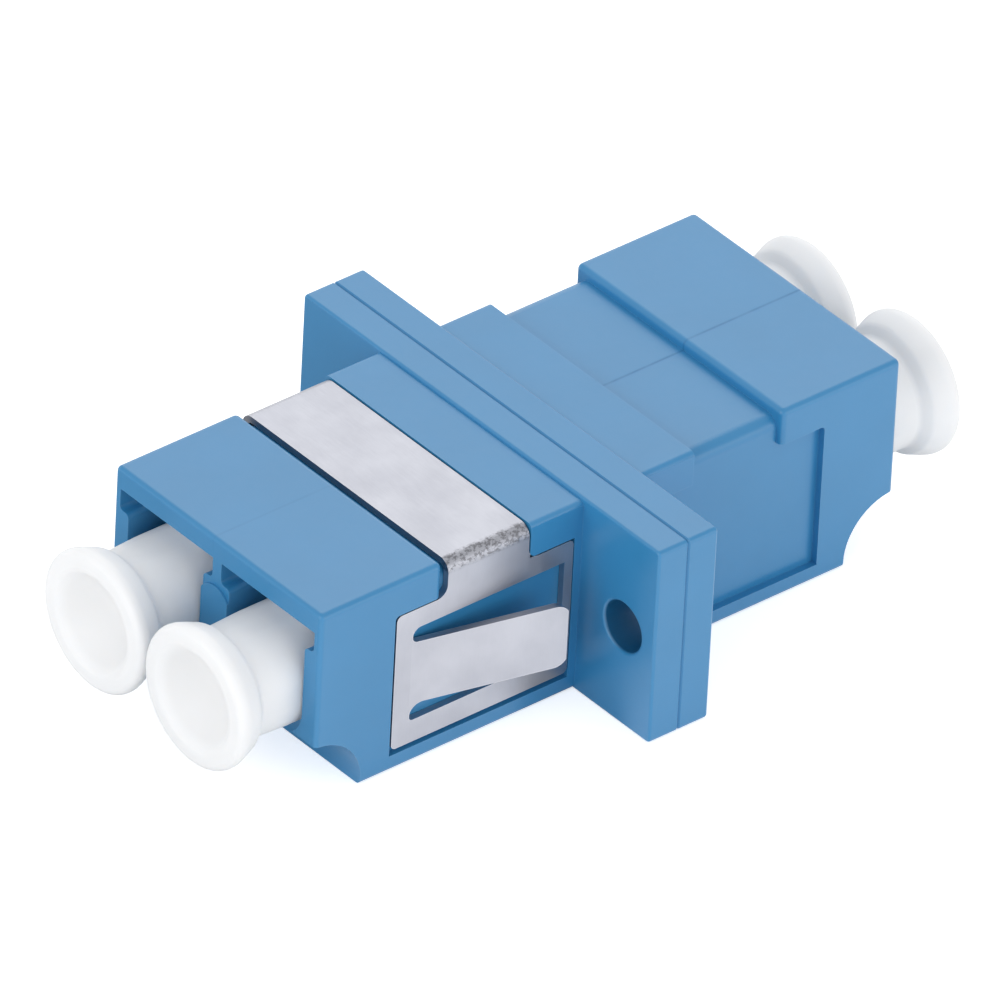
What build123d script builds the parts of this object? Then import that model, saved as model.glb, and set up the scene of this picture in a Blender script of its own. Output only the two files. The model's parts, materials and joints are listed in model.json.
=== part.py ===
from build123d import *
from math import cos, radians, sin, tan
import os

# X runs across the two ports, Y along the fibre and Z up, in millimetres.
# y = 0 is the joint between the housing halves and z = 0 is the underside.
# Names ending in "_y" are distances outward from the joint plane, on either half.

# Standard distances of this family of couplers
port_pitch = 6.25
screw_spacing = 18.0
ferrule_radius = 0.625

# Port openings
port_size = 4.65
port_corner_radius = 1.4
port_end_y = 1.2
floor_thickness = 2.475
roof_thickness = 0.96
latch_height = 0.965
latch_septum = 0.53
latch_side_wall = 0.365
ledge_rounding = 0.4
mouth_depth = 2.35
catch_length = 1.2
latch_pocket_length = 2.25
latch_pocket_ledge = 0.175
latch_duck_height = 0.425
latch_stem_width = 2.6
latch_arm_height = 0.625
latch_arm_end_y = 2.5

# Housing halves
half_length = 14.75
body_edge_radius = 0.25
face_edge_radius = 0.2
flange_half_thickness = 1.5
flange_step = 0.1
flange_corner_radius = 0.2
flange_edge_radius = 0.12
joint_chamfer = 0.08
lip_length = 2.65
lip_drop = 0.05
block_length = 6.1
channel_depth = 0.45
channel_corner_radius = 0.55
channel_step_radius = 0.25
recess_rib = 0.37
recess_post_length = 3.82
recess_sill = 0.75
recess_top_drop = 1.62
recess_corner_radius = 0.2
notch_overhang = 0.05
notch_z = 0.3
notch_radius = 2.45
pad_radius = 0.93
pad_rise = 1.19
pad_height = 0.1

# Panel screws and locating pegs
screw_hole_radius = 1.1
screw_hole_rim = 0.15
screw_edge_distance = 1.95
peg_offset = 0.85
peg_z = 1.5
peg_radius = 0.45
peg_length = 0.8
peg_play = 0.06

# Alignment sleeves and the tubes that hold them
sleeve_wall = 0.185
sleeve_length = 6.8
sleeve_slit = 0.25
sleeve_end_chamfer = 0.05
sleeve_play = 0.06
sleeve_end_play = 0.1
holder_wall = 0.38
holder_lip_length = 1.1
ferrule_play = 0.05
ferrule_lead_in = 0.25

# Retaining clip, folded from one strip of sheet
clip_thickness = 0.3
clip_play = 0.02
clip_bend_radius = 0.55
clip_top_gap = 0.05
strap_lip_gap = 0.08
strap_block_gap = 0.32
plate_rib_gap = 0.05
plate_post_gap = 0.08
plate_sill_gap = 0.25
plate_top_gap = 0.05
plate_corner_radius = 0.25
plate_neck_radius = 0.5
window_back_strip = 0.42
window_front_strip = 0.85
window_strips = (1.05, 0.92)
window_corner_radii = (0.2, 0.4)
tongue_slots = (0.85, 0.63)
tongue_angle = 13.8
tongue_corner_radius = 0.6
tongue_root_radii = (0.6, 0.2)
panel_gap = 1.85

# Dust caps
cap_play = 0.075
cap_corner_margin = 0.45
cap_overlap = 0.4
cap_bore_play = 0.2
cap_bore_depth = 4.8
cap_nose_chamfer = 0.4
cap_shoulder_setback = 1.2
cap_shoulder_gap = 0.1
cap_square_length = 0.15
cap_neck_length = 1.7
cap_neck_radius = 2.34
cap_groove_length = 0.2
cap_groove_fillet = 0.25
cap_flare_length = 0.35
cap_flare_drop = 0.3
cap_flare_fillet = 0.35
cap_rim_back_length = 0.8
cap_rim_back_fillet = 0.6
cap_rim_thickness = 0.45
cap_rim_gap = 0.13
cap_rim_fillet = 0.3
cap_lip_width = 0.85
cap_lip_fillet = 0.3
cap_dish_depth = 1.0

# Sizes that follow from the ones above: ports and body
port_positions = (-port_pitch / 2, port_pitch / 2)
port_axis_z = floor_thickness + port_size / 2
port_ledge_z = floor_thickness + port_size
latch_roof_z = port_ledge_z + latch_height
latch_mouth_width = port_pitch - latch_septum
latch_ledge = (latch_mouth_width - port_size) / 2
latch_pocket_width = port_size + 2 * latch_pocket_ledge
mouth_end_y = half_length - mouth_depth
catch_end_y = mouth_end_y - catch_length
latch_pocket_end_y = catch_end_y - latch_pocket_length
body_width = port_pitch + latch_mouth_width + 2 * latch_side_wall
body_height = latch_roof_z + roof_thickness
flange_width = screw_spacing + 2 * screw_edge_distance
flange_height = body_height + flange_step
screw_positions = (-screw_spacing / 2, screw_spacing / 2)
screw_z = body_height / 2
lip_y = flange_half_thickness + lip_length
lip_height = body_height - lip_drop
block_y = half_length - block_length
channel_floor_z = body_height - channel_depth
recess_y = (flange_half_thickness + recess_rib, half_length - recess_post_length)
recess_z = (recess_sill, body_height - recess_top_drop)
recess_depth = clip_thickness + clip_play
core_half_width = body_width / 2 - recess_depth
peg_x = body_width / 2 + peg_offset

# Sleeves and their holders
sleeve_radius = ferrule_radius + sleeve_wall
sleeve_cavity_radius = sleeve_radius + sleeve_play
sleeve_cavity_y = sleeve_length / 2 + sleeve_end_play
ferrule_hole_radius = ferrule_radius + ferrule_play
holder_radius = sleeve_cavity_radius + holder_wall
holder_y = sleeve_cavity_y + holder_lip_length

# Clip
clip_half_width = body_width / 2
clip_inner_x = clip_half_width - clip_thickness
clip_top_z = channel_floor_z + clip_top_gap + clip_thickness
strap_y = (lip_y + strap_lip_gap, block_y - strap_block_gap)
plate_y = (recess_y[0] + plate_rib_gap, recess_y[1] - plate_post_gap)
plate_z = (recess_z[0] + plate_sill_gap, recess_z[1] - plate_top_gap)
window_y = (plate_y[0] + window_back_strip, plate_y[1] - window_front_strip)
window_z = (plate_z[0] + window_strips[0], plate_z[1] - window_strips[1])
tongue_z = (window_z[0] + tongue_slots[0], window_z[1] - tongue_slots[1])
tongue_lean = radians(tongue_angle)
tongue_end_y = flange_half_thickness + panel_gap
tongue_root_y = window_y[1] + clip_thickness
tongue_end_x = clip_inner_x + (window_y[1] - tongue_end_y) * tan(tongue_lean)
bend_shift = clip_thickness * tan(tongue_lean / 2)

# Caps
cap_half_width = port_size / 2 - cap_play
cap_corner_radius = port_corner_radius + cap_corner_margin
cap_inner_y = holder_y - cap_overlap
cap_bore_radius = holder_radius + cap_bore_play
cap_square_y = half_length + cap_square_length
cap_neck_y = cap_square_y + cap_neck_length
cap_groove_y = cap_neck_y + cap_groove_length
cap_flare_y = cap_groove_y + cap_flare_length
cap_rim_back_y = cap_flare_y + cap_rim_back_length
cap_rim_front_y = cap_rim_back_y + cap_rim_thickness
cap_rim_radius = (port_pitch - cap_rim_gap) / 2
cap_flare_radius = cap_rim_radius - cap_flare_drop
cap_dish_radius = cap_rim_radius - cap_lip_width
cap_dish_curve = (cap_dish_radius**2 + cap_dish_depth**2) / (2 * cap_dish_depth)
cap_dish_centre_y = cap_rim_front_y + cap_dish_curve - cap_dish_depth
cap_shoulder_y = (mouth_end_y + cap_shoulder_gap, half_length - cap_shoulder_setback)
cap_latch_width = latch_mouth_width - 2 * cap_play
cap_ledge_height = port_size / 2 + cap_play
cap_latch_height = port_size / 2 + latch_height - cap_play

os.makedirs("parts", exist_ok=True)


def is_near(value, target, margin=0.02):
    return abs(value - target) < margin


# Half of the housing that carries the clip
with BuildPart() as front_housing:
    # Half of the mounting flange, with a fine groove where the halves join
    with BuildSketch(Plane.XZ):
        with Locations((0, flange_height / 2)):
            RectangleRounded(flange_width, flange_height, flange_corner_radius)
    extrude(amount=flange_half_thickness)
    fillet(front_housing.faces().sort_by(Axis.Y)[0].edges(), flange_edge_radius)
    chamfer(front_housing.faces().sort_by(Axis.Y)[-1].edges(), joint_chamfer)

    # Body block, closed until the ports are cut
    with BuildSketch(Plane.XZ):
        with Locations((0, body_height / 2)):
            RectangleRounded(body_width, body_height, body_edge_radius)
    extrude(amount=half_length)
    fillet(front_housing.faces().sort_by(Axis.Y)[0].edges(), face_edge_radius)

    # The lip beside the flange stands a little lower than the end block
    with BuildSketch(Plane.XZ.offset(flange_half_thickness)):
        with Locations((0, lip_height)):
            Rectangle(body_width, 2 * (flange_height - lip_height))
        with Locations((0, lip_height / 2)):
            RectangleRounded(body_width, lip_height, body_edge_radius, mode=Mode.SUBTRACT)
    extrude(amount=lip_y - flange_half_thickness, mode=Mode.SUBTRACT)

    # Channel for the clip's strap, over the top and down to the side recesses
    with BuildSketch(Plane.XZ.offset(lip_y)):
        with Locations((0, body_height)):
            Rectangle(2 * body_width, 2 * (body_height - recess_z[1]))
        with Locations((0, channel_floor_z / 2)):
            RectangleRounded(
                2 * core_half_width, channel_floor_z, channel_corner_radius, mode=Mode.SUBTRACT
            )
    extrude(amount=block_y - lip_y, mode=Mode.SUBTRACT)
    fillet(
        front_housing.edges().filter_by(Axis.X).filter_by(
            lambda edge: is_near(edge.center().Y, -block_y) and is_near(edge.center().Z, body_height)
        ),
        channel_step_radius,
    )

    # Side recesses that take the clip's plates
    for side in (-1, 1):
        with BuildSketch(Plane.YZ.offset(side * core_half_width)) as recess:
            with Locations((-sum(recess_y) / 2, sum(recess_z) / 2)):
                Rectangle(recess_y[1] - recess_y[0], recess_z[1] - recess_z[0])
            fillet(recess.vertices().group_by(Axis.X)[0].sort_by(Axis.Y)[-1], recess_corner_radius)
        extrude(amount=side * 2 * recess_depth, mode=Mode.SUBTRACT)

    # Arched pad between the port mouths
    with BuildSketch(Plane.XZ.offset(half_length)):
        with Locations((0, port_axis_z + pad_rise)):
            Circle(pad_radius)
            Rectangle(2 * pad_radius, port_axis_z, align=(Align.CENTER, Align.MAX))
    extrude(amount=pad_height)

    for port_x in port_positions:
        # Stepped mouth: square for the plug, wider above it for the latch
        with BuildSketch(Plane.XZ.offset(half_length + pad_height)) as mouth:
            with Locations((port_x, port_axis_z)):
                Rectangle(port_size, port_size)
            with Locations((port_x, port_ledge_z)):
                Rectangle(
                    latch_mouth_width, latch_roof_z - port_ledge_z, align=(Align.CENTER, Align.MIN)
                )
            fillet(mouth.vertices().group_by(Axis.Y)[0], port_corner_radius)
            fillet(
                mouth.vertices().filter_by(lambda corner: is_near(corner.Y, port_ledge_z)),
                ledge_rounding * latch_ledge,
            )
        extrude(amount=mouth_end_y - half_length - pad_height, mode=Mode.SUBTRACT)

        # Square bore for the plug, down to the wall that carries the sleeve
        with BuildSketch(Plane.XZ.offset(port_end_y)) as bore:
            with Locations((port_x, port_axis_z)):
                Rectangle(port_size, port_size)
            fillet(bore.vertices().group_by(Axis.Y)[0], port_corner_radius)
        extrude(amount=half_length - port_end_y, mode=Mode.SUBTRACT)

        # Headroom where the latch's ears duck under the catch
        with BuildSketch(Plane.XZ.offset(catch_end_y)):
            with Locations((port_x, port_ledge_z)):
                Rectangle(
                    latch_pocket_width, 2 * latch_duck_height, align=(Align.CENTER, Align.CENTER)
                )
        extrude(amount=catch_length, mode=Mode.SUBTRACT)

        # Pocket behind the catch, where the ears spring up
        with BuildSketch(Plane.XZ.offset(latch_pocket_end_y)):
            with Locations((port_x, port_axis_z)):
                Rectangle(
                    latch_pocket_width, latch_roof_z - port_axis_z, align=(Align.CENTER, Align.MIN)
                )
        extrude(amount=latch_pocket_length, mode=Mode.SUBTRACT)

        # Slot for the latch's stem, then a lower one for the root of its arm
        for roof_z, start_y, end_y in (
            (latch_roof_z, latch_pocket_end_y, mouth_end_y),
            (port_ledge_z + latch_arm_height, latch_arm_end_y, latch_pocket_end_y),
        ):
            with BuildSketch(Plane.XZ.offset(start_y)):
                with Locations((port_x, port_axis_z)):
                    Rectangle(latch_stem_width, roof_z - port_axis_z, align=(Align.CENTER, Align.MIN))
            extrude(amount=end_y - start_y, mode=Mode.SUBTRACT)

        # Tube that holds half of the alignment sleeve
        with BuildSketch(Plane.XZ.offset(port_end_y)):
            with Locations((port_x, port_axis_z)):
                Circle(holder_radius)
        extrude(amount=holder_y - port_end_y)
        with BuildSketch(Plane.XZ):
            with Locations((port_x, port_axis_z)):
                Circle(sleeve_cavity_radius)
        extrude(amount=sleeve_cavity_y, mode=Mode.SUBTRACT)
        with BuildSketch(Plane.XZ):
            with Locations((port_x, port_axis_z)):
                Circle(ferrule_hole_radius)
        extrude(amount=holder_y, mode=Mode.SUBTRACT)
        chamfer(
            front_housing.edges().filter_by(GeomType.CIRCLE).filter_by(
                lambda edge: is_near(edge.radius, ferrule_hole_radius, 0.001)
                and is_near(edge.arc_center.Y, -holder_y)
                and is_near(edge.arc_center.X, port_x)
            ),
            ferrule_lead_in,
        )

    # Round notch across the underside, below the port mouths
    with BuildSketch(Plane.YZ):
        with Locations((-half_length - notch_overhang, notch_z)):
            Circle(notch_radius)
    extrude(amount=body_width, both=True, mode=Mode.SUBTRACT)

    # Screw holes with softened rims
    with BuildSketch(Plane.XZ):
        with Locations(*[(x, screw_z) for x in screw_positions]):
            Circle(screw_hole_radius)
    extrude(amount=flange_half_thickness, mode=Mode.SUBTRACT)
    fillet(
        front_housing.edges().filter_by(GeomType.CIRCLE).filter_by(
            lambda edge: is_near(edge.radius, screw_hole_radius, 0.001)
            and is_near(edge.arc_center.Y, -flange_half_thickness)
        ),
        screw_hole_rim,
    )

    # Locating peg on one side of the joint and its socket on the other
    with BuildSketch(Plane.XZ):
        with Locations((-peg_x, peg_z)):
            Circle(peg_radius + peg_play)
    extrude(amount=peg_length + peg_play, mode=Mode.SUBTRACT)
    with BuildSketch(Plane.XZ):
        with Locations((peg_x, peg_z)):
            Circle(peg_radius)
    extrude(amount=-peg_length)
front_housing.part.label = "front_housing"
export_step(front_housing.part, "parts/front_housing.step")

# The other half is the same moulding, turned about the vertical axis
with BuildPart() as rear_housing:
    add(front_housing.part, rotation=(0, 0, 180))
rear_housing.part.label = "rear_housing"
export_step(rear_housing.part, "parts/rear_housing.step")

# Split alignment sleeves, with the slit at the top
for side_name, port_x in zip(("left", "right"), port_positions):
    with BuildPart() as split_sleeve:
        with BuildSketch(Plane.XZ):
            with Locations((port_x, port_axis_z)):
                Circle(sleeve_radius)
                Circle(ferrule_radius, mode=Mode.SUBTRACT)
                Rectangle(
                    sleeve_slit, 2 * sleeve_radius, align=(Align.CENTER, Align.MIN), mode=Mode.SUBTRACT
                )
        extrude(amount=sleeve_length / 2, both=True)
        chamfer(
            split_sleeve.edges().filter_by(GeomType.CIRCLE).filter_by(
                lambda edge: is_near(edge.radius, sleeve_radius, 0.001)
            ),
            sleeve_end_chamfer,
        )
    split_sleeve.part.label = f"split_sleeve_{side_name}"
    export_step(split_sleeve.part, f"parts/split_sleeve_{side_name}.step")

# The clip's right-hand tongue: rooted at the window's front edge and leaning outward
with BuildPart() as tongue:
    with BuildSketch(Plane.XY.offset(window_z[0])):
        with BuildLine():
            Polyline(
                (clip_inner_x, -tongue_root_y),
                (clip_inner_x, -window_y[1]),
                (tongue_end_x, -tongue_end_y),
                (
                    tongue_end_x + clip_thickness * cos(tongue_lean),
                    -tongue_end_y - clip_thickness * sin(tongue_lean),
                ),
                (clip_half_width, -window_y[1] - bend_shift),
                (clip_half_width, -tongue_root_y),
                close=True,
            )
        make_face()
    extrude(amount=window_z[1] - window_z[0])

    # Outline from the side, rounded at the free end and widening into the plate
    with BuildSketch(Plane.YZ) as outline:
        with Locations((-tongue_end_y, sum(tongue_z) / 2)):
            Rectangle(
                tongue_root_y - tongue_end_y, tongue_z[1] - tongue_z[0], align=(Align.MAX, Align.CENTER)
            )
        fillet(outline.vertices().group_by(Axis.X)[-1], tongue_corner_radius)
        with Locations((-window_y[1], sum(window_z) / 2)):
            Rectangle(
                tongue_root_y - window_y[1], window_z[1] - window_z[0], align=(Align.MAX, Align.CENTER)
            )
        for corner_z, corner_radius in zip(tongue_z, tongue_root_radii):
            root_corner = outline.vertices().filter_by(
                lambda corner: is_near(corner.X, -window_y[1]) and is_near(corner.Y, corner_z)
            )
            fillet(root_corner, corner_radius)
    extrude(amount=body_width, mode=Mode.INTERSECT)

# Retaining clip: a strap over the top, a pierced plate and a sprung tongue on each side
with BuildPart() as retaining_clip:
    # Strap, bent over both top corners
    with BuildSketch(Plane.XZ.offset(strap_y[0])):
        with Locations((0, clip_top_z)):
            RectangleRounded(
                2 * clip_half_width, 2 * clip_top_z, clip_bend_radius, align=(Align.CENTER, Align.MAX)
            )
        with Locations((0, clip_top_z - clip_thickness)):
            RectangleRounded(
                2 * clip_inner_x,
                2 * clip_top_z,
                clip_bend_radius - clip_thickness,
                align=(Align.CENTER, Align.MAX),
                mode=Mode.SUBTRACT,
            )
        with Locations((0, plate_z[1])):
            Rectangle(body_width, clip_top_z, align=(Align.CENTER, Align.MAX), mode=Mode.SUBTRACT)
        with Locations((0, plate_z[1])):
            Rectangle(body_width, 2 * clip_top_z, align=(Align.CENTER, Align.MIN), mode=Mode.INTERSECT)
    extrude(amount=strap_y[1] - strap_y[0])

    # Right-hand plate with its window
    with BuildSketch(Plane.YZ.offset(clip_inner_x)) as plate:
        with Locations((-sum(plate_y) / 2, sum(plate_z) / 2)):
            Rectangle(plate_y[1] - plate_y[0], plate_z[1] - plate_z[0])
        fillet(plate.vertices(), plate_corner_radius)
        with Locations((-sum(window_y) / 2, sum(window_z) / 2)):
            Rectangle(window_y[1] - window_y[0], window_z[1] - window_z[0], mode=Mode.SUBTRACT)
        for corner_z, corner_radius in zip(window_z, window_corner_radii):
            window_corner = plate.vertices().filter_by(
                lambda corner: is_near(corner.X, -window_y[1]) and is_near(corner.Y, corner_z)
            )
            fillet(window_corner, corner_radius)
    extrude(amount=clip_thickness)
    add(tongue.part)

    # Inside corners where the strap grows out of the plate
    fillet(
        retaining_clip.edges().filter_by(Axis.X).filter_by(
            lambda edge: is_near(edge.center().Z, plate_z[1])
            and -strap_y[1] - 0.01 < edge.center().Y < -strap_y[0] + 0.01
            and edge.center().X > 0
        ),
        plate_neck_radius,
    )

    # The left-hand side is folded the same way
    split(bisect_by=Plane.YZ, keep=Keep.TOP)
    mirror(about=Plane.YZ)
retaining_clip.part.label = "retaining_clip"
export_step(retaining_clip.part, "parts/retaining_clip.step")

# Dust cap, drawn on its own axis with the grip towards -Y
with BuildPart() as dust_cap:
    # Square shank that slides in the port
    with BuildSketch(Plane.XZ.offset(cap_inner_y)):
        RectangleRounded(2 * cap_half_width, 2 * cap_half_width, cap_corner_radius)
    extrude(amount=cap_square_y - cap_inner_y)
    chamfer(dust_cap.faces().sort_by(Axis.Y)[-1].edges(), cap_nose_chamfer)

    # Neck that grows from square to round
    with BuildSketch(Plane.XZ.offset(cap_square_y)):
        RectangleRounded(2 * cap_half_width, 2 * cap_half_width, cap_corner_radius)
    with BuildSketch(Plane.XZ.offset(cap_neck_y)):
        Circle(cap_neck_radius)
    loft()

    # Round grip that flares from a groove to a soft rim
    with BuildSketch(Plane.XY) as grip:
        with BuildLine():
            Polyline(
                (0, -cap_neck_y),
                (cap_neck_radius, -cap_neck_y),
                (cap_neck_radius, -cap_groove_y),
                (cap_flare_radius, -cap_flare_y),
                (cap_rim_radius, -cap_rim_back_y),
                (cap_rim_radius, -cap_rim_front_y),
                (0, -cap_rim_front_y),
                close=True,
            )
        make_face()
        for corner_y, corner_radius in (
            (cap_groove_y, cap_groove_fillet),
            (cap_flare_y, cap_flare_fillet),
            (cap_rim_back_y, cap_rim_back_fillet),
            (cap_rim_front_y, cap_rim_fillet),
        ):
            grip_corner = grip.vertices().filter_by(
                lambda corner: corner.X > 0 and is_near(corner.Y, -corner_y)
            )
            fillet(grip_corner, corner_radius)
    revolve(axis=Axis.Y)

    # Shoulder that fills the latch's half of the mouth
    with BuildSketch(Plane.XZ.offset(cap_shoulder_y[0])):
        with Locations((0, cap_ledge_height)):
            Rectangle(
                cap_latch_width, cap_latch_height - cap_ledge_height, align=(Align.CENTER, Align.MIN)
            )
        Rectangle(cap_half_width, cap_latch_height, align=(Align.CENTER, Align.MIN))
    extrude(amount=cap_shoulder_y[1] - cap_shoulder_y[0])

    # Shallow dish in the grip
    with Locations((0, -cap_dish_centre_y, 0)):
        Sphere(cap_dish_curve, mode=Mode.SUBTRACT)
    fillet(
        dust_cap.edges().filter_by(GeomType.CIRCLE).filter_by(
            lambda edge: is_near(edge.radius, cap_dish_radius, 0.001)
        ),
        cap_lip_fillet,
    )

    # Hollow that clears the sleeve's tube
    with BuildSketch(Plane.XZ.offset(cap_inner_y)):
        Circle(cap_bore_radius)
    extrude(amount=cap_bore_depth, mode=Mode.SUBTRACT)

# Four of the same cap, one in each port
for half_name, turn in (("front", 0), ("rear", 180)):
    for side_name, port_x in zip(("left", "right"), port_positions):
        with BuildPart() as placed_cap:
            with Locations(Location((port_x, 0, port_axis_z), (0, 0, turn))):
                add(dust_cap.part)
        placed_cap.part.label = f"dust_cap_{half_name}_{side_name}"
        export_step(placed_cap.part, f"parts/dust_cap_{half_name}_{side_name}.step")
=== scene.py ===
import json

import bpy
from mathutils import Matrix, Vector

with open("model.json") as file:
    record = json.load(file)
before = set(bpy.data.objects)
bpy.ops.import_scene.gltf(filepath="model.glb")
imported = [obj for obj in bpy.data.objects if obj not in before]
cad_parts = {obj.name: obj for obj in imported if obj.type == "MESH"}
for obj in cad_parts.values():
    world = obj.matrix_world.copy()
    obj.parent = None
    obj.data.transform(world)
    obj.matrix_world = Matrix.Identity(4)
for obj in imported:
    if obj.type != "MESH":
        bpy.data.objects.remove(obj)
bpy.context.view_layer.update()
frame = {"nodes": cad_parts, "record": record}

MM = 0.001

# Places on the part, in millimetres
PORT_X = 3.125
PORT_Z = 4.8
SCREW_X = 9.0
SCREW_Z = 4.525
FLANGE_FRONT_Y = -1.5
MOULD_LINE_X = 0.3

# Spans in millimetres over which a look comes or goes on the part
LINE_EDGE = (0.02, 0.08)
LINE_START_Y = (4.1, 4.2)
LINE_START_Z = (8.3, 8.5)
LINE_GROWTH_Y = (-9, 4)
HOLE_EDGE = (1.1, 1.16)
STRAP_Z = (8.35, 8.55)
RIGHT_BEND_X = (5.75, 5.95)
LEFT_BEND_X = (-6.2, -6.3)
DISH_EDGE = (1.8, 2.15)
GRIP_Y = (17.2, 17.3)

# Linear colours, with two tones where a surface is cloudy
BLUES = ((0.031, 0.221, 0.455, 1.0), (0.037, 0.237, 0.485, 1.0))
BLUE_WORN = (0.17, 0.40, 0.64, 1.0)
BLUE_LINE = (0.008, 0.10, 0.27, 1.0)
# Painted shade for the insides of the screw holes
BLUE_HOLE_SHADE = (0.006, 0.085, 0.20, 1.0)
STEELS = ((0.375, 0.38, 0.42, 1.0), (0.435, 0.44, 0.48, 1.0))
STEEL_WORN = (0.62, 0.62, 0.65, 1.0)
# Painted shade for the clip's strap
STEEL_STRAP_SHADE = (0.19, 0.195, 0.215, 1.0)
# Painted reflection: the dark mottle on the clip's bends
STEEL_BEND_REFLECTION = (0.12, 0.12, 0.13, 1.0)
WHITES = ((0.865, 0.87, 0.88, 1.0), (0.90, 0.905, 0.915, 1.0))
# Painted shade for the dishes of the caps
WHITE_DISH_SHADE = (0.80, 0.80, 0.80, 1.0)
CERAMICS = ((0.83, 0.82, 0.78, 1.0), (0.88, 0.87, 0.84, 1.0))
PAPERS = ((0.90, 0.90, 0.90, 1.0), (0.92, 0.92, 0.92, 1.0))
BLACK = (0.0, 0.0, 0.0, 1.0)
SKY = (0.98, 0.99, 1.0, 1.0)

# Turn of a rounded normal, as 1 less its cosine, from which an edge is worn to where it is fully so
WEAR_TURN = (0.004, 0.12)

# Floor: side in metres and height in millimetres
FLOOR_SIZE = 3.0
FLOOR_Z = -0.01

# The floor's own glow to the eye and its painted light in reflections, and the share of the latter
# where shade is painted in
FLOOR_GLOW = 0.6
FLOOR_PAINTED_SHEEN = 0.8
FLOOR_PAINTED_SHADE = 0.3

# Where that painted shade ends on the floor in millimetres, and how far it widens with distance to
# the front
FLOOR_RIGHT_X = (3, 8)
FLOOR_LEFT_X = (-24, -34)
FLOOR_STRIP_X = (8.7, 10.4)
FLOOR_STRIP_Y = (-1.5, -1.0)
FLOOR_STRIP_SLOPE = 1.134

# Light: the sky's strength on the object, then lamps by place, size and power
SKY_STRENGTH = 0.74
LAMP_TARGET = Vector((0, 0, 0.004))
LAMPS = {
    "back_left": ((-0.37, 0.33, 0.35), (0.5, 0.5), 0.9),
    "front": ((0.06, -0.60, 0.20), (0.6, 0.4), 1.25),
    "right": ((0.60, 0.16, 0.14), (0.6, 0.3), 0.85),
}

# Camera at the photograph's viewing angle
CAMERA_PLACE = (0.6456467, -0.5697485, 0.6144372)
CAMERA_RIGHT = Vector((0.6372604, 0.7694015, 0.0438232))
CAMERA_UP = Vector((-0.4682409, 0.3414034, 0.8149811))
CAMERA_LENS = 966.609
CAMERA_SENSOR = 36.0
CAMERA_NEAR = 0.01
CAMERA_FAR = 10.0


# Node helpers

class Shader:
    """A material's node tree with short calls for adding and joining nodes."""

    def __init__(self, name):
        self.material = bpy.data.materials.new(name)
        self.material.use_nodes = True
        self.nodes = self.material.node_tree.nodes
        self.links = self.material.node_tree.links
        self.bsdf = self.nodes["Principled BSDF"]
        self.place = self.add("ShaderNodeTexCoord").outputs["Object"]

    def add(self, kind, inputs=None, **settings):
        node = self.nodes.new(kind)
        for key, value in settings.items():
            setattr(node, key, value)
        for key, value in (inputs or {}).items():
            self.set(node.inputs[key], value)
        return node

    def set(self, socket, value):
        if isinstance(value, bpy.types.NodeSocket):
            self.links.new(value, socket)
        else:
            socket.default_value = value

    def axes(self):
        return self.add("ShaderNodeSeparateXYZ", {0: self.place}).outputs

    def noise(self, scale, detail, roughness=0.5, place=None):
        node = self.add("ShaderNodeTexNoise", {
            "Vector": place or self.place,
            "Scale": scale,
            "Detail": detail,
            "Roughness": roughness,
        })
        return node.outputs["Fac"]

    def stretch(self, x, y, z):
        node = self.add("ShaderNodeVectorMath", {0: self.place, 1: (x, y, z)}, operation="MULTIPLY")
        return node.outputs["Vector"]

    def math(self, operation, first, second=0.0):
        node = self.add("ShaderNodeMath", {0: first, 1: second}, operation=operation)
        return node.outputs["Value"]

    def product(self, first, *others):
        for other in others:
            first = self.math("MULTIPLY", first, other)
        return first

    def remap(self, value, low, high, out_low, out_high, smooth=False):
        node = self.add("ShaderNodeMapRange", {
            "Value": value,
            "From Min": low,
            "From Max": high,
            "To Min": out_low,
            "To Max": out_high,
        })
        if smooth:
            node.interpolation_type = "SMOOTHSTEP"
        return node.outputs["Result"]

    def fade(self, value, span, levels=(0.0, 1.0), smooth=False):
        """From one level to another over a span in millimetres."""
        return self.remap(value, span[0] * MM, span[1] * MM, *levels, smooth)

    def spread(self, noise, low, high):
        """The middle of a noise's range, spread from low to high."""
        return self.remap(noise, 0.3, 0.7, low, high)

    def mix(self, factor, first, second):
        node = self.add("ShaderNodeMix", data_type="RGBA")
        self.set(node.inputs[0], factor)
        self.set(node.inputs[6], first)
        self.set(node.inputs[7], second)
        return node.outputs[2]

    def two_tone(self, noise, tones):
        return self.mix(self.spread(noise, 0.0, 1.0), *tones)

    def bump(self, height, distance, strength, normal=None):
        """Relief of a height, with its distance in millimetres."""
        node = self.add("ShaderNodeBump", {
            "Height": height,
            "Distance": distance * MM,
            "Strength": strength,
        })
        if normal is not None:
            self.set(node.inputs["Normal"], normal)
        return node.outputs["Normal"]

    def edge_wear(self, radius):
        """0 on flat faces rising to 1 at edges, from the turn of a rounded normal."""
        soft = self.add("ShaderNodeBevel", {"Radius": radius * MM}, samples=8).outputs["Normal"]
        hard = self.add("ShaderNodeNewGeometry").outputs["Normal"]
        dot = self.add("ShaderNodeVectorMath", {0: soft, 1: hard}, operation="DOT_PRODUCT")
        turn = self.math("SUBTRACT", 1.0, dot.outputs["Value"])
        return self.remap(turn, *WEAR_TURN, 0.0, 1.0, smooth=True)

    def axis_distance(self, axes, x, z):
        """Distance from the nearer of two axes along Y, at plus and minus x."""
        off_x = self.math("SUBTRACT", self.math("ABSOLUTE", axes["X"]), x * MM)
        off_z = self.math("SUBTRACT", axes["Z"], z * MM)
        squares = self.math("ADD", self.product(off_x, off_x), self.product(off_z, off_z))
        return self.math("SQRT", squares)

    def surface(self, **values):
        for key, value in values.items():
            self.set(self.bsdf.inputs[key.replace("_", " ")], value)
        return self.material


# Materials

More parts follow.
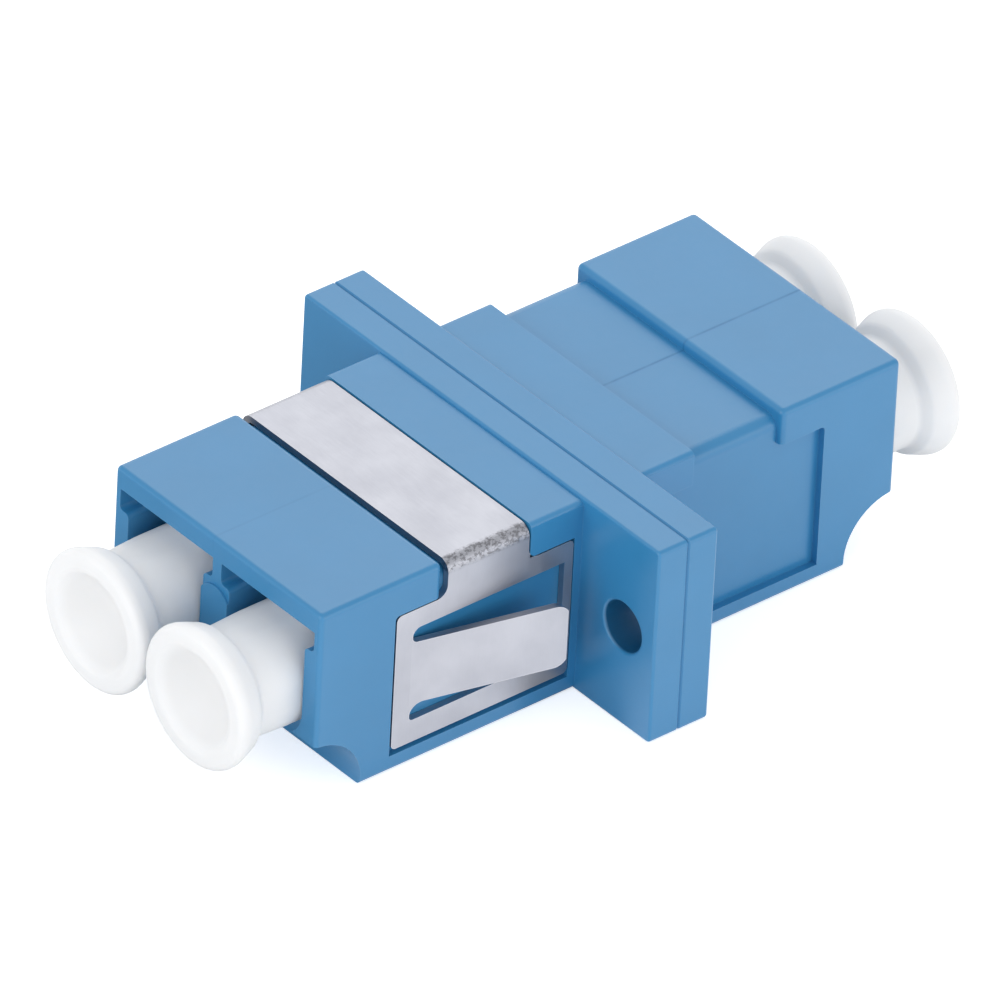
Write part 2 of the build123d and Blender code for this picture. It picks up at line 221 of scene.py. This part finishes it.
def housing_plastic():
    s = Shader("housing_plastic")
    axes = s.axes()
    cloud = s.noise(260.0, 3.0)
    colour = s.two_tone(cloud, BLUES)
    colour = s.mix(s.product(s.edge_wear(0.12), 0.12), colour, BLUE_WORN)

    # Witness line of the mould along the top of each half, stronger on the rear one
    across = s.product(axes["X"], s.math("SIGN", axes["Y"]))
    off_line = s.math("ABSOLUTE", s.math("SUBTRACT", across, MOULD_LINE_X * MM))
    line = s.product(
        s.fade(off_line, LINE_EDGE, (1.0, 0.0)),
        s.fade(s.math("ABSOLUTE", axes["Y"]), LINE_START_Y),
        s.fade(axes["Z"], LINE_START_Z),
        s.fade(axes["Y"], LINE_GROWTH_Y, (0.12, 0.45)),
        s.remap(s.noise(900.0, 2.0), 0.35, 0.6, 0.5, 1.0),
    )
    colour = s.mix(line, colour, BLUE_LINE)

    # Painted shade: the screw holes are mixed toward a deeper blue than the faces around them
    painted_hole_shade = s.fade(s.axis_distance(axes, SCREW_X, SCREW_Z), HOLE_EDGE, (0.8, 0.0))
    colour = s.mix(painted_hole_shade, colour, BLUE_HOLE_SHADE)

    flow = s.noise(700.0, 2.0, place=s.stretch(1.0, 0.35, 1.0))
    rough = s.math("ADD", s.spread(s.noise(3500.0, 1.0), 0.29, 0.33), s.spread(cloud, 0.0, 0.03))
    rough = s.math("ADD", rough, s.product(line, 0.4))
    return s.surface(Base_Color=colour, Roughness=rough, Normal=s.bump(flow, 0.012, 0.4), IOR=1.55)


def spring_steel():
    s = Shader("spring_steel")
    axes = s.axes()
    colour = s.two_tone(s.noise(500.0, 3.0), STEELS)
    colour = s.mix(s.product(s.edge_wear(0.08), 0.4), colour, STEEL_WORN)

    # Painted shade: the strap is mixed a quarter of the way toward a darker grey, a shade deeper
    # than the plates
    upper = s.fade(axes["Z"], STRAP_Z, smooth=True)
    colour = s.mix(s.product(upper, 0.25), colour, STEEL_STRAP_SHADE)

    # Stretched skin over the two bends, finely crazed in relief and wider on the right one; the dark
    # mottle in its colour is painted reflection
    right = s.fade(axes["X"], RIGHT_BEND_X, smooth=True)
    left = s.fade(axes["X"], LEFT_BEND_X, smooth=True)
    bend = s.product(s.math("MAXIMUM", right, left), upper)
    craze = s.noise(7000.0, 3.0, 0.7, place=s.stretch(1.0, 0.7, 1.0))
    painted_bend_reflection = s.product(bend, s.remap(craze, 0.45, 0.58, 0.0, 0.75))
    colour = s.mix(painted_bend_reflection, colour, STEEL_BEND_REFLECTION)

    grain = s.noise(1500.0, 4.0, 0.6, place=s.stretch(1.0, 12.0, 1.0))
    normal = s.bump(grain, 0.004, 0.4)
    normal = s.bump(s.product(craze, bend), 0.03, 0.8, normal)
    rough = s.spread(grain, 0.33, 0.43)
    return s.surface(Base_Color=colour, Metallic=1.0, Roughness=rough, Normal=normal)


def cap_plastic():
    s = Shader("cap_plastic")
    axes = s.axes()
    colour = s.two_tone(s.noise(350.0, 3.0), WHITES)

    # Painted shade: the dish in each grip is mixed toward a duller white than its rim
    painted_dish_shade = s.fade(s.axis_distance(axes, PORT_X, PORT_Z), DISH_EDGE, (0.45, 0.0), smooth=True)
    outward = s.fade(s.math("ABSOLUTE", axes["Y"]), GRIP_Y)
    colour = s.mix(s.product(painted_dish_shade, outward), colour, WHITE_DISH_SHADE)

    grain = s.noise(4000.0, 1.0)
    normal = s.bump(grain, 0.002, 0.2)
    normal = s.bump(s.noise(500.0, 2.0), 0.015, 0.4, normal)
    return s.surface(
        Base_Color=colour,
        Roughness=s.spread(grain, 0.42, 0.52),
        Normal=normal,
        IOR=1.45,
        Subsurface_Weight=0.6,
        Subsurface_Radius=(1.0, 0.95, 0.9),
        Subsurface_Scale=1.2 * MM,
    )


def sleeve_ceramic():
    s = Shader("sleeve_ceramic")
    colour = s.two_tone(s.noise(900.0, 3.0), CERAMICS)
    rings = s.noise(1200.0, 3.0, place=s.stretch(0.2, 6.0, 0.2))
    rough = s.spread(rings, 0.12, 0.25)
    return s.surface(Base_Color=colour, Roughness=rough, Normal=s.bump(rings, 0.002, 0.3))


def floor_paper():
    """White sheet that keeps a soft shadow; in gloss it shows painted light to the sides and painted
    shade elsewhere.
    """
    s = Shader("floor_paper")
    axes = s.axes()
    white = s.mix(s.noise(120.0, 2.0), *PAPERS)

    # Painted light in reflections to the right of the object and far to its left, painted shade
    # between
    levels = (FLOOR_PAINTED_SHADE, 1.0)
    right = s.fade(axes["X"], FLOOR_RIGHT_X, levels, smooth=True)
    left = s.fade(axes["X"], FLOOR_LEFT_X, levels, smooth=True)

    # The strip that shows in the front face of the flange keeps its painted shade
    ahead = s.product(s.math("SUBTRACT", axes["Y"], FLANGE_FRONT_Y * MM), -FLOOR_STRIP_SLOPE)
    past = s.fade(s.math("ADD", axes["X"], ahead), FLOOR_STRIP_X, levels, smooth=True)
    beside = s.fade(axes["Y"], FLOOR_STRIP_Y)
    right = s.math("MINIMUM", right, s.math("MAXIMUM", past, beside))
    painted_light = s.math("MAXIMUM", right, left)

    # Reflections see the painted light and shade; the eye sees the plain white sheet
    paths = s.add("ShaderNodeLightPath").outputs
    glossy = paths["Is Glossy Ray"]
    colour = s.mix(glossy, white, s.mix(painted_light, BLACK, white))
    s.surface(Base_Color=colour, Roughness=0.9, Specular_IOR_Level=0.0)
    seen = s.math("MAXIMUM", paths["Is Camera Ray"], paths["Is Transmission Ray"])
    strength = s.math("ADD", s.product(seen, FLOOR_GLOW), s.product(glossy, painted_light, FLOOR_PAINTED_SHEEN))
    glow = s.add("ShaderNodeEmission", {"Strength": strength})
    both = s.add("ShaderNodeAddShader", {0: s.bsdf.outputs[0], 1: glow.outputs[0]})
    s.set(s.nodes["Material Output"].inputs["Surface"], both.outputs[0])
    return s.material


MATERIALS = {
    "housing_plastic": housing_plastic(),
    "spring_steel": spring_steel(),
    "cap_plastic": cap_plastic(),
    "sleeve_ceramic": sleeve_ceramic(),
}
for part in frame["record"]["subparts"]:
    node = frame["nodes"][part["node"]]
    node.data.materials.clear()
    node.data.materials.append(MATERIALS[part["material_slot"]])

# Floor, just under the object
bpy.ops.mesh.primitive_plane_add(size=FLOOR_SIZE, location=(0, 0, FLOOR_Z * MM))
floor = bpy.context.object
floor.name = "floor"
floor.data.materials.append(floor_paper())

# Sky, at full strength in gloss
scene = bpy.context.scene
world = bpy.data.worlds.new("studio")
scene.world = world
world.use_nodes = True
sky = world.node_tree.nodes["Background"]
sky.inputs["Color"].default_value = SKY
rays = world.node_tree.nodes.new("ShaderNodeLightPath").outputs
mirrored = world.node_tree.nodes.new("ShaderNodeMapRange")
mirrored.inputs["To Min"].default_value = SKY_STRENGTH
world.node_tree.links.new(rays["Is Glossy Ray"], mirrored.inputs["Value"])
world.node_tree.links.new(mirrored.outputs["Result"], sky.inputs["Strength"])

# Lamps
for name, (place, size, power) in LAMPS.items():
    lamp_data = bpy.data.lights.new(name, "AREA")
    lamp_data.shape = "RECTANGLE"
    lamp_data.size = size[0]
    lamp_data.size_y = size[1]
    lamp_data.energy = power
    lamp = bpy.data.objects.new(name, lamp_data)
    scene.collection.objects.link(lamp)
    lamp.location = place
    lamp.rotation_mode = "QUATERNION"
    lamp.rotation_quaternion = (LAMP_TARGET - Vector(place)).to_track_quat("-Z", "Y")

# Camera
camera_data = bpy.data.cameras.new("camera")
camera_data.sensor_width = CAMERA_SENSOR
camera_data.lens = CAMERA_LENS
camera_data.clip_start = CAMERA_NEAR
camera_data.clip_end = CAMERA_FAR
camera = bpy.data.objects.new("camera", camera_data)
scene.collection.objects.link(camera)
camera_back = CAMERA_RIGHT.cross(CAMERA_UP)
turn = Matrix((CAMERA_RIGHT, CAMERA_UP, camera_back)).transposed().to_4x4()
camera.matrix_world = Matrix.Translation(CAMERA_PLACE) @ turn
scene.camera = camera
scene.view_settings.view_transform = "Standard"
